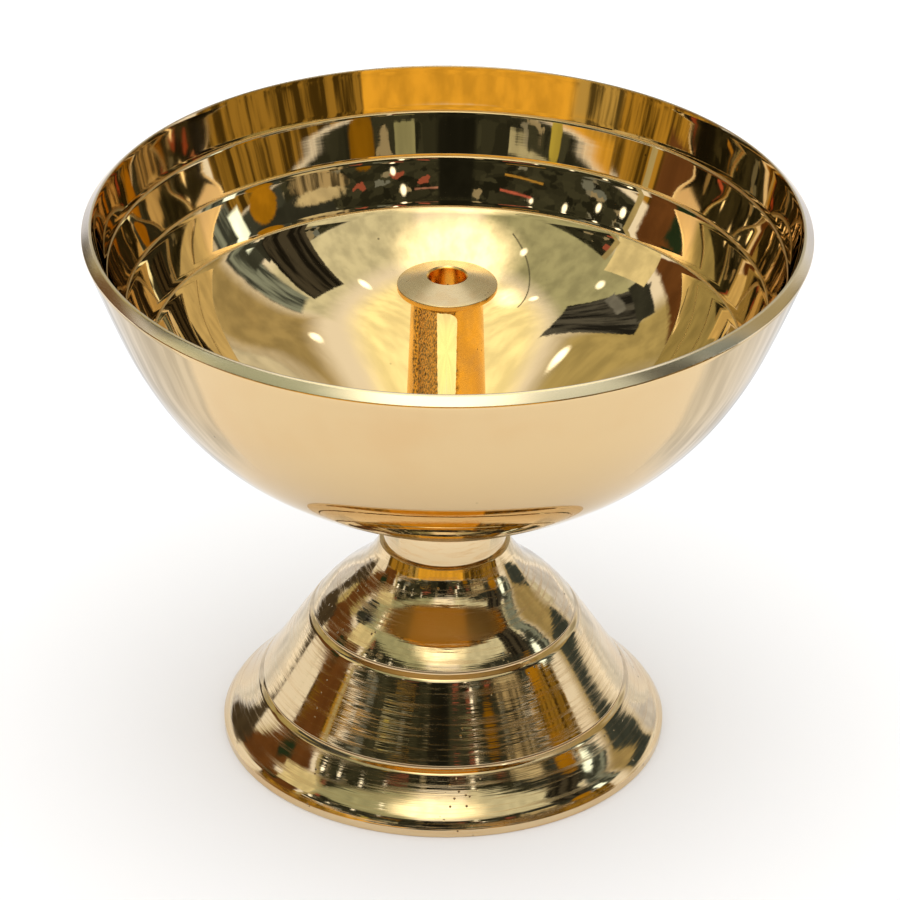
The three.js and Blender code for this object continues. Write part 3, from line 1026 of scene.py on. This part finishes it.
def threaded_rod(radius, bottom, top, sizes):
    """A rod with one right-handed thread, cut flat and chamfered at both ends."""
    pitch, root = sizes.pitch, radius - sizes.thread_depth
    turns = math.ceil((top - bottom) / pitch) + 2
    # Each corner of the ridge by its radius and by its share of the pitch
    ridge = [(root, 0), (root, 0.12), (radius, 0.46), (radius, 0.58), (root, 0.92), (root, 1)]
    bm = bmesh.new()
    corners = [bm.verts.new(point(across, bottom + (up - 1) * pitch)) for across, up in ridge]
    edges = [bm.edges.new(pair) for pair in zip(corners, corners[1:])]
    steps = turns * THREAD_TURN_STEPS
    bmesh.ops.spin(
        bm, geom=corners + edges, cent=(0, 0, 0), axis=UP, dvec=UP * (pitch / THREAD_TURN_STEPS),
        angle=math.tau * turns, steps=steps, use_merge=False, use_duplicate=False)
    bmesh.ops.remove_doubles(bm, verts=bm.verts[:], dist=SAME_PLACE)
    for height, normal in ((bottom, -UP), (top, UP)):
        trim(bm, UP * height, normal)
    for vert in bm.verts:
        inset = min(vert.co.z - bottom, top - vert.co.z)
        limit = radius - sizes.stud_chamfer + inset
        across = Vector((vert.co.x, vert.co.y)).length
        if across > limit:
            vert.co.x *= limit / across
            vert.co.y *= limit / across
    settle_faces(bm)
    return bm


class DIYA_OT_crown_fixings(bpy.types.Operator):
    """Build the washer and the hexagon nut under the pedestal's crown"""
    bl_idname = "diya.crown_fixings"
    bl_label = "Crown Washer and Nut"

    def execute(self, context):
        sizes = context.scene.diya_fixings
        bore = stud_bore(context)
        washer = ring("crown_washer", bore, sizes.edge_break, sizes.edge_break, SMALL_TURN_STEPS)
        finished(context, washer, "crown_washer", "lamp", ("zinc_plate",))
        finished(context, self.nut(sizes, bore), "crown_nut", "lamp", ("zinc_plate",))
        return {"FINISHED"}

    def nut(self, sizes, bore):
        """A turned blank with chamfered faces, cut to six flats."""
        bottom, top = lowest("crown_nut"), highest("crown_nut")
        flat = sizes.nut_flats / 2
        corner = flat / math.cos(math.radians(30))
        face = flat - sizes.nut_face
        slope = (corner - face) * math.tan(math.radians(30))
        outline = [
            point(bore, bottom + NUT_MOUTH), point(bore + NUT_MOUTH, bottom), point(face, bottom),
            point(corner, bottom + slope), point(corner, top - slope), point(face, top),
            point(bore + NUT_MOUTH, top), point(bore, top - NUT_MOUTH),
        ]
        bm = turned(outline, SMALL_TURN_STEPS)
        for side in range(6):
            normal = Matrix.Rotation(math.radians(60 * side + 30), 3, "Z") @ Vector((1, 0, 0))
            trim(bm, normal * flat, normal)
        settle_faces(bm)
        return bm


# Stage

class Card(NamedTuple):
    """A glowing card of the surroundings that polished metal mirrors. Angles are degrees.

    Azimuth 0 is the viewer's side and grows to the right, and elevation is over the horizon. Both are
    as seen from the bowl's far wall, which mirrors the card. The edge fades over soft and wanders by
    up to ragged, and lean turns the card.
    """
    name: str
    azimuth: float
    elevation: float
    wide: float
    tall: float
    colour: tuple
    soft: float = 1.0
    ragged: float = 0.0
    lean: float = 0.0
    oval: bool = False
    pattern: str = "even"


WHITE_LIGHT = (2.4, 2.5, 2.5)

# Small lamps overhead, each by azimuth, elevation, width, height and softness
SPOTS = (
    (-86, 39.5, 5, 4.4, 1.4), (-42, 46.7, 5, 4.4, 1.4), (-72, 58.6, 6, 4.4, 1.4),
    (21.7, 23.7, 3, 3.4, 0.9), (18.5, 29.4, 3.4, 4, 1), (115, 49.6, 5, 4.4, 1.4),
    (-118, 52, 5, 4.4, 1.4), (-49.3, 27.8, 3, 3.4, 0.9), (-62.4, 23.1, 3, 3.2, 0.9),
    (-72.4, 20.3, 3.4, 3.4, 0.9), (60.7, 56, 6, 7, 1.8), (-35, 29.4, 2.6, 2.2, 0.8),
)

CARDS = (
    Card("back_table", 180, -24, 190, 24, (0.84, 0.87, 0.92), 5),
    Card("back_low", 180, 0, 104, 24, (0.72, 0.76, 0.88), 5),
    Card("back_high", 180, 31, 110, 44, (0.45, 0.43, 0.34), 7, 4),
    Card("ceiling", 0, 73, 320, 33, (1.3, 1.26, 0.80), 9, 4),
    Card("zenith", 0, 84, 360, 10, (1.6, 1.55, 0.85), 5),
    Card("right_haze", 57, 43, 92, 32, (0.72, 0.75, 0.62), 8, 4),
    Card("left_haze", -58, 43, 92, 36, (0.42, 0.46, 0.32), 8, 4),
    Card("hanging_light", -5, 54, 88, 42, (2.3, 2.25, 1.8), 12, 4, oval=True),
    Card("left_light", -58, 65, 40, 13, (2.3, 2.3, 2.1), 6, 3, oval=True),
    Card("right_tan_wall", 115, 24, 36, 62, (0.42, 0.35, 0.18), 9, 3),
    Card("left_tan_wall", -122, 30, 34, 60, (0.48, 0.42, 0.20), 9, 3),
    Card("right_pale_edge", 133, 30, 8, 50, (0.68, 0.68, 0.60), 2, 2),
    Card("amber_wall", -15, 0, 94, 32.5, (0.84, 0.47, 0.05), 1.5, 1),
    Card("amber_dim", -52, 1, 24, 30, (0.46, 0.32, 0.09), 5, 2, pattern="streaks"),
    Card("amber_right", 60, 1, 62, 30, (0.30, 0.18, 0.03), 1, 1, pattern="streaks"),
    Card("amber_left", -80, 1, 40, 28, (0.40, 0.23, 0.03), 1, 1, pattern="streaks"),
    Card("far_clutter", 0, 24.8, 152, 18.6, (0.035, 0.038, 0.026), 0.8, 1, pattern="clutter"),
    Card("near_dark", -3, 25, 17, 18.6, (0.012, 0.013, 0.01), 2.5, 4),
    Card("left_case", -103, 43, 21, 30, (0.085, 0.09, 0.09), 0.8, 3, -25, pattern="streaks"),
    Card("left_case_top", -104, 30, 18, 7, (0.04, 0.045, 0.04), 0.8, 2),
    Card("left_case_fold", -99, 38, 12, 5, (0.20, 0.22, 0.24), 1, 3, 12),
    Card("left_brown", -104, 14, 50, 20, (0.14, 0.06, 0.02), 2, 4),
    Card("left_green", -97, 13, 12, 9, (0.02, 0.04, 0.02), 2, 4),
    Card("left_paper", -88, 27, 21, 12, (0.85, 0.80, 0.52), 0.4, 1, 22),
    Card("left_paper_tail", -76, 21, 3, 26, (0.45, 0.40, 0.22), 0.5, 1),
    Card("left_low_dark", -131, 2, 24, 18, (0.07, 0.055, 0.035), 2.5, 4),
    Card("right_blinds", 95, 28, 14, 38, (0.24, 0.30, 0.30), 2, 3, pattern="streaks"),
    Card("right_mid_dark", 80, 22, 30, 14, (0.05, 0.06, 0.055), 1.5, 2),
    Card("right_window", 88, 18, 7, 11, (1.6, 2.0, 2.2), 1.5, 1.5),
    Card("right_fringe_top", 67, 25.5, 40, 10, (0.035, 0.04, 0.035), 0.8, 2),
    Card("right_fringe", 76, 37, 21, 27, (0.055, 0.052, 0.042), 0.6, 2.5, -12, pattern="streaks"),
    Card("right_orange", 75, 17.5, 14, 10, (0.42, 0.21, 0.01), 1, 3, oval=True),
    Card("right_cloth", 51, 21, 28, 8, (0.40, 0.33, 0.20), 0.8, 4, -12, oval=True, pattern="streaks"),
    Card("right_cloth_edge", 52, 24, 26, 5, (0.62, 0.56, 0.38), 0.8, 3, -8, oval=True),
    Card("right_yellow", 32, 18.5, 11, 8, (0.24, 0.12, 0.005), 1, 4, oval=True),
    Card("right_low_dark", 116, 4, 24, 17, (0.05, 0.065, 0.065), 2, 4),
    Card("front_cloth", 16, 19.3, 8, 3.2, (0.30, 0.32, 0.20), 0.4, 2),
    Card("front_edging", -33, 18.8, 22, 1.4, (0.50, 0.50, 0.36), 0.3, 1.2),
    Card("front_yellow", -39, 16.6, 5, 4, (0.48, 0.42, 0.08), 0.4, 2, oval=True),
    Card("front_line", -28, 28.8, 14, 1.0, (0.60, 0.16, 0.12), 0.3, 0.8),
    Card("front_line_right", 9, 29.6, 10, 0.8, (0.50, 0.26, 0.22), 0.3, 0.8),
    Card("front_trim", -30, 24.2, 16, 1.0, (0.50, 0.30, 0.06), 0.3, 1),
    Card("pole", -54, 53, 50, 0.9, (0.16, 0.17, 0.13), 0.3, 0.4, -28),
    *(Card(f"spot_{number}", *shape, WHITE_LIGHT, soft, 1, oval=True)
      for number, (*shape, soft) in enumerate(SPOTS, 1)),
)


def card_finish(card):
    """A card's glow, with a soft ragged edge and the card's pattern."""
    finish = Finish(card.name)
    place = finish.node("ShaderNodeTexCoord", {}, {}, "UV")
    across, up = finish.part(place, "X") * card.wide, finish.part(place, "Y") * card.tall
    spread = finish.vector(across, up, card.azimuth)
    if card.oval:
        x, y = across * (2 / card.wide) - 1, up * (2 / card.tall) - 1
        inside = (1 - (x * x + y * y) ** 0.5) * (min(card.wide, card.tall) / 2)
    else:
        inside = across.math("MINIMUM", card.wide - across).math("MINIMUM", up)
        inside = inside.math("MINIMUM", card.tall - up)
    wobble = (finish.noise(spread, 0.3, 4.0, 0.6) - 0.5) * card.ragged
    finish.set(
        base_color=(0, 0, 0, 1), roughness=1.0, specular_ior_level=0.0, emission_strength=1.0,
        emission_color=PATTERNS[card.pattern](finish, card, across, up),
        alpha=(inside - wobble.math("ABSOLUTE")).rise(0, card.soft),
    )
    return finish.material


def scaled(colour, factor):
    return tuple(part * factor for part in colour)


def even_pattern(finish, card, across, up):
    cloud = finish.noise(finish.vector(across, up, card.elevation), 0.16, 3.0)
    return finish.mix(cloud.rise(0.3, 0.7), scaled(card.colour, 0.82), scaled(card.colour, 1.15))


def streaks_pattern(finish, card, across, up):
    """Upright streaks, as of folds and posts."""
    folds = finish.noise(finish.vector(across * 0.24, up * 0.03, card.azimuth), 1.0, 4.0, 0.6)
    return finish.mix(folds.rise(0.42, 0.6), scaled(card.colour, 0.2), scaled(card.colour, 1.2))


def clutter_pattern(finish, card, across, up):
    """Small dim things of many colours, with a few lighter ones."""
    bent = finish.noise(finish.vector(across, up, card.azimuth), 0.5, 3.0)
    spread = finish.vector(across * 0.24 + bent * 1.5, up * 0.6 + bent, card.azimuth)
    chance = finish.cells(spread, 1.0, "Color")
    dim = finish.mix(finish.part(chance, "X"), scaled(card.colour, 0.4), scaled(card.colour, 1.6))
    light = finish.mix(finish.part(chance, "Z"), (0.36, 0.32, 0.22), (0.16, 0.20, 0.22))
    mixed = finish.mix(finish.part(chance, "Y") > 0.93, dim, light)
    return finish.mix(finish.part(chance, "Z") > 0.992, mixed, (0.35, 0.10, 0.07))


PATTERNS = {"even": even_pattern, "streaks": streaks_pattern, "clutter": clutter_pattern}


class DIYA_OT_stage(bpy.types.Operator):
    """Set up the floor, the light and the camera"""
    bl_idname = "diya.stage"
    bl_label = "Stage"

    def execute(self, context):
        stage = context.scene.diya_stage
        self.floor(context, stage)
        self.sky(context, stage)
        for order, card in enumerate(CARDS):
            self.card(context, stage, order, card)
        self.camera(context, stage)
        context.scene.view_settings.view_transform = "Standard"
        return {"FINISHED"}

    def floor(self, context, stage):
        """The pale table that the lamp stands on."""
        bm = bmesh.new()
        bmesh.ops.create_grid(bm, x_segments=1, y_segments=1, size=stage.floor_size)
        mesh = bpy.data.meshes.new("floor")
        bm.to_mesh(mesh)
        bm.free()
        finish = Finish("pale_table")
        finish.set(base_color=opaque(stage.floor_colour), roughness=0.9, specular_ior_level=0.0)
        mesh.materials.append(finish.material)
        floor = bpy.data.objects.new("floor", mesh)
        context.scene.collection.objects.link(floor)

    def sky(self, context, stage):
        """An even white all round, and a soft lamp overhead that the metal doesn't show."""
        world = bpy.data.worlds.new("studio")
        context.scene.world = world
        world.use_nodes = True
        world.node_tree.nodes["Background"].inputs["Color"].default_value = (1, 1, 1, 1)
        world.node_tree.nodes["Background"].inputs["Strength"].default_value = 1.0
        light = bpy.data.lights.new("key", "AREA")
        light.size = stage.key_size
        light.energy = stage.key_power
        lamp = bpy.data.objects.new("key", light)
        lamp.location = UP * stage.key_height
        lamp.visible_glossy = False
        context.scene.collection.objects.link(lamp)

    def card(self, context, stage, order, card):
        """A card bent round the lamp or laid on the floor, which only the metal's reflections show."""
        bm = bmesh.new()
        bm.loops.layers.uv.new("card")
        columns, rows = (math.ceil(side / CARD_SPACING) for side in (card.wide, card.tall))
        bmesh.ops.create_grid(bm, x_segments=columns, y_segments=rows, size=0.5, calc_uvs=True)
        radius = stage.card_distance - order * stage.card_step
        lean = Matrix.Rotation(math.radians(card.lean), 2)
        for vert in bm.verts:
            step = lean @ Vector((vert.co.x * card.wide, vert.co.y * card.tall))
            azimuth = math.radians(card.azimuth + step.x)
            elevation = math.radians(card.elevation + step.y)
            vert.co = self.hung_at(stage, azimuth, elevation, radius)
        mesh = bpy.data.meshes.new(card.name)
        bm.to_mesh(mesh)
        bm.free()
        mesh.materials.append(card_finish(card))
        shown = bpy.data.objects.new(card.name, mesh)
        shown.visible_camera = shown.visible_diffuse = shown.visible_shadow = False
        context.scene.collection.objects.link(shown)

    def hung_at(self, stage, azimuth, elevation, radius):
        """Where a line from the bowl's far wall in some direction reaches the cards' sphere or the floor."""
        level = Vector((math.sin(azimuth), -math.cos(azimuth), 0))
        toward = level * math.cos(elevation) + UP * math.sin(elevation)
        start = -level * stage.mirror_reach
        across = toward.dot(start)
        away = math.sqrt(across ** 2 - start.length_squared + radius ** 2) - across
        if elevation < 0:
            away = min(away, (stage.mirror_height - stage.card_gap) / -toward.z)
        return start + UP * stage.mirror_height + toward * away

    def camera(self, context, stage):
        """The camera on the viewer's side, aimed down at the lamp's axis."""
        target = Vector((stage.view_side, 0, stage.view_height))
        pitch = stage.view_pitch
        back = Vector((0, -math.cos(pitch), math.sin(pitch)))
        lens = bpy.data.cameras.new("camera")
        lens.sensor_width = 36
        lens.lens = stage.lens
        lens.clip_start, lens.clip_end = 0.01, 20
        camera = bpy.data.objects.new("camera", lens)
        camera.location = target + back * stage.view_distance
        turn = (-back).to_track_quat("-Z", "Y").to_matrix() @ Matrix.Rotation(stage.view_roll, 3, "Z")
        camera.rotation_euler = turn.to_euler()
        context.scene.collection.objects.link(camera)
        context.scene.camera = camera


PIECE_OPERATORS = (
    DIYA_OT_pedestal,
    DIYA_OT_neck_ring,
    DIYA_OT_bowl,
    DIYA_OT_sealing_washer,
    DIYA_OT_wick_holder,
    DIYA_OT_tie_stud,
    DIYA_OT_crown_fixings,
    DIYA_OT_stage,
)


class DIYA_PT_panel(bpy.types.Panel):
    """The diya's operators and their sizes"""
    bl_idname = "DIYA_PT_panel"
    bl_label = "Pedestal Diya"
    bl_space_type = "VIEW_3D"
    bl_region_type = "UI"
    bl_category = "Diya"

    def draw(self, context):
        for operator in PIECE_OPERATORS:
            self.layout.operator(operator.bl_idname)
        for name, group in SETTINGS.items():
            box = self.layout.box()
            box.label(text=group.__doc__)
            for setting in group.__annotations__:
                box.prop(getattr(context.scene, name), setting)


CLASSES = (*SETTINGS.values(), *PIECE_OPERATORS, DIYA_PT_panel)


def register():
    for made in CLASSES:
        bpy.utils.register_class(made)
    for name, group in SETTINGS.items():
        setattr(bpy.types.Scene, name, bpy.props.PointerProperty(type=group))


def unregister():
    for name in SETTINGS:
        delattr(bpy.types.Scene, name)
    for made in reversed(CLASSES):
        bpy.utils.unregister_class(made)


def main():
    register()
    bpy.ops.diya.pedestal()
    bpy.ops.diya.neck_ring()
    bpy.ops.diya.bowl()
    bpy.ops.diya.sealing_washer()
    bpy.ops.diya.wick_holder()
    bpy.ops.diya.tie_stud()
    bpy.ops.diya.crown_fixings()
    bpy.ops.diya.stage()


if __name__ == "__main__":
    main()
